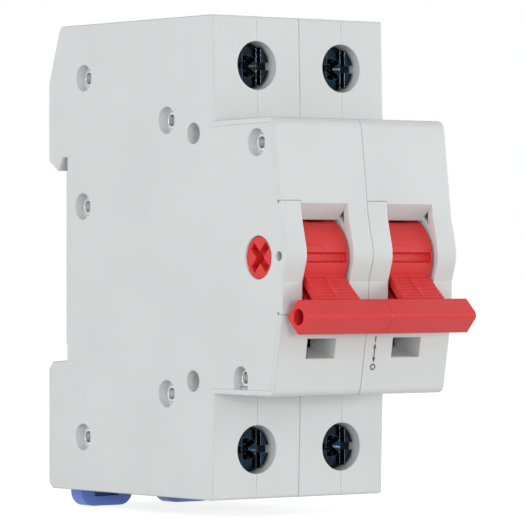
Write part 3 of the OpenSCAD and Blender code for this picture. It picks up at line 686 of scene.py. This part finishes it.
@dataclass
class LockRamps:
    """The ramp that rises along the floor of each pole's square lock tunnel."""

    bench: Bench
    left: float = -3.24
    right: float = 2.84
    front: Point = (0.0, -60.8, -16.44)
    back: Point = (0.0, -54.9, -14.75)
    floor: float = -16.5

    def make(self) -> None:
        """Makes a ramp in both poles."""
        for pole, side in (("a", -9.0), ("b", 9.0)):
            profile = [(self.front[1], self.front[2]), (self.back[1], self.back[2]), (self.back[1], self.floor), (self.front[1], self.floor)]
            rings = [[Vector((side + x, y, z)) for y, z in profile] for x in (self.left, self.right)]
            self.bench.loft(f"lock_ramp_{pole}", rings, Slot.HOUSING, "case")


@dataclass
class ClipWebs:
    """The thin web that closes the back of the screwdriver slot in each rail clip's pull tab."""

    bench: Bench
    half_width: float = 2.65
    low: float = 1.65
    high: float = 2.65
    set_in: float = 0.1
    thickness: float = 0.6

    def make(self) -> None:
        """Makes a web in both clips."""
        for pole in ("a", "b"):
            near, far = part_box(f"rail_clip_{pole}")
            middle = (near.x + far.x) / 2.0 / MM
            back = far.y / MM - self.set_in
            corners = [(-self.half_width, self.low), (self.half_width, self.low), (self.half_width, self.high), (-self.half_width, self.high)]
            rings = [[Vector((middle + x, y, near.z / MM + z)) for x, z in corners] for y in (back, back - self.thickness)]
            self.bench.loft(f"clip_slot_web_{pole}", rings, Slot.CLIP, f"clip_{pole}")


@dataclass
class PrintedMarks:
    """The printed dashes, double arrow and off ring on the right pole's lower slope."""

    bench: Bench
    ink: bpy.types.Material
    top: Point = (0.0, -62.1, -9.2)
    low: Point = (0.0, -59.8, -22.6)
    thickness: float = 0.03

    def _on_slope(self, x: float, z: float, lift: float) -> Vector:
        """Returns a point of the slope, lifted along its outward normal, in millimetres."""
        share = (self.top[2] - z) / (self.top[2] - self.low[2])
        normal = Vector((0.0, -(self.top[2] - self.low[2]), self.top[1] - self.low[1])).normalized()
        return Vector((x, self.top[1] + (self.low[1] - self.top[1]) * share, z)) + normal * lift

    def _patch(self, name: str, outline: list[tuple[float, float]]) -> None:
        """Prints one flat patch.

        Args:
            name: The patch's name.
            outline: Its corners as (X, Z), in millimetres.
        """
        rings = [[self._on_slope(x, z, lift) for x, z in outline] for lift in (-0.02, self.thickness)]
        self.bench.loft(name, rings, Slot.HOUSING, "case", self.ink)

    def make(self) -> None:
        """Prints the dashes, the arrow and the ring."""
        x = 2.12
        for i, (high, low) in enumerate(((-9.75, -10.75), (-11.3, -12.3), (-12.85, -13.85))):
            self._patch(f"printed_dash_{i}", [(x - 0.11, low), (x + 0.11, low), (x + 0.11, high), (x - 0.11, high)])
        self._patch("printed_arrow", [
            (x, -17.3), (x + 0.34, -16.38), (x + 0.09, -16.45), (x + 0.09, -14.9), (x + 0.34, -14.97), (x, -14.05),
            (x - 0.34, -14.97), (x - 0.09, -14.9), (x - 0.09, -16.45), (x - 0.34, -16.38),
        ])
        middle = self._on_slope(2.1, -18.0, 0.0)
        axis = self._on_slope(2.1, -18.0, 1.0) - middle
        section = ((0.32, -0.02), (0.54, -0.02), (0.54, self.thickness), (0.32, self.thickness))
        profile = [middle + Vector((radius, 0.0, 0.0)) + axis * lift for radius, lift in section]
        self.bench.spin("printed_ring", profile, middle, axis, Slot.HOUSING, "case", self.ink)


def main() -> None:
    """Builds the view, then dresses and details the switch."""
    logging.basicConfig(level=logging.INFO, format="%(message)s")
    studio = Studio()
    studio.make_camera()
    studio.make_room()
    shop = FinishShop()
    Switch(shop).dress()
    bench = Bench(shop)
    LeverRibs(bench).make()
    DrumLines(bench).make()
    LockRamps(bench).make()
    ClipWebs(bench).make()
    PrintedMarks(bench, shop.ink()).make()


if __name__ == "__main__":
    main()
